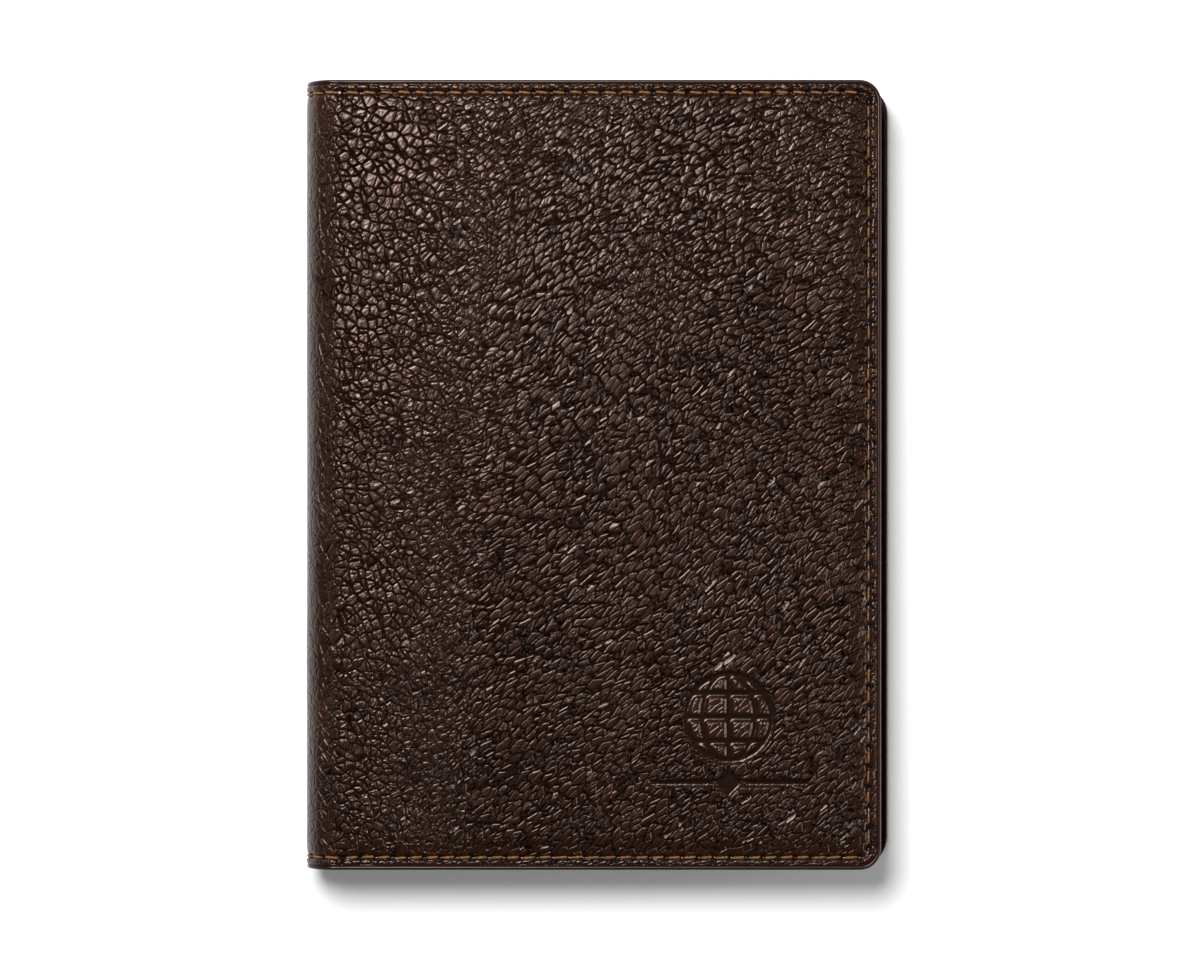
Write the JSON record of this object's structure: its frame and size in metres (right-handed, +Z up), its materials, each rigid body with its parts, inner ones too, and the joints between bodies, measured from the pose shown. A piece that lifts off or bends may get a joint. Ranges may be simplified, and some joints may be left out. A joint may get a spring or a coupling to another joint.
{
  "type": "passport holder",
  "caption": "Bifold leather passport holder with a padded grained cover, painted edges, contrast stitching, a passport sleeve and card slots inside; it opens flat at its spine.",
  "frame": {"origin": "under the middle of the closed holder, on the surface that its back cover lies on", "axes": "+Z up through the closed holder, +Y towards its head, +X from the spine to the opening edge"},
  "size_m": [0.104, 0.14, 0.013],
  "materials": {
    "outer_leather": "pebble grain, semi-gloss dark brown",
    "pocket_leather": "smooth fine grain, satin dark brown",
    "lining": "fine woven lining",
    "foam": "matte foam padding",
    "board": "matte fibre board",
    "edge_paint": "smooth satin painted edge",
    "thread": "waxed twisted thread"
  },
  "bodies": {
    "back_cover": {"back_leather": "outer_leather", "back_foam": "foam", "back_board": "board", "back_lining": "lining", "passport_sleeve": "pocket_leather", "back_edge_paint": "edge_paint", "back_outer_stitching": "thread", "back_inner_stitching": "thread"},
    "spine": {"spine_leather": "outer_leather", "spine_lining": "lining", "spine_edge_paint": "edge_paint", "spine_outer_stitching": "thread", "spine_inner_stitching": "thread"},
    "front_cover": {"front_leather": "outer_leather", "front_foam": "foam", "front_board": "board", "front_lining": "lining", "slip_pocket": "pocket_leather", "card_slot_1": "pocket_leather", "card_slot_2": "pocket_leather", "card_slot_3": "pocket_leather", "front_edge_paint": "edge_paint", "front_outer_stitching": "thread", "front_inner_stitching": "thread", "card_slot_stitching": "thread"}
  },
  "joints": [
    {"name": "spine_hinge", "type": "hinge", "parent": "back_cover", "child": "spine", "pos_m": [-0.0506, 0, 0.00139], "axis": [0, -1, 0], "range_deg": [0, 90]},
    {"name": "cover_hinge", "type": "hinge", "parent": "spine", "child": "front_cover", "pos_m": [-0.0506, 0, 0.01161], "axis": [0, -1, 0], "range_deg": [0, 90]}
  ],
  "couplings": [
    {"joint": "cover_hinge", "follows": "spine_hinge", "ratio": 1}
  ]
}
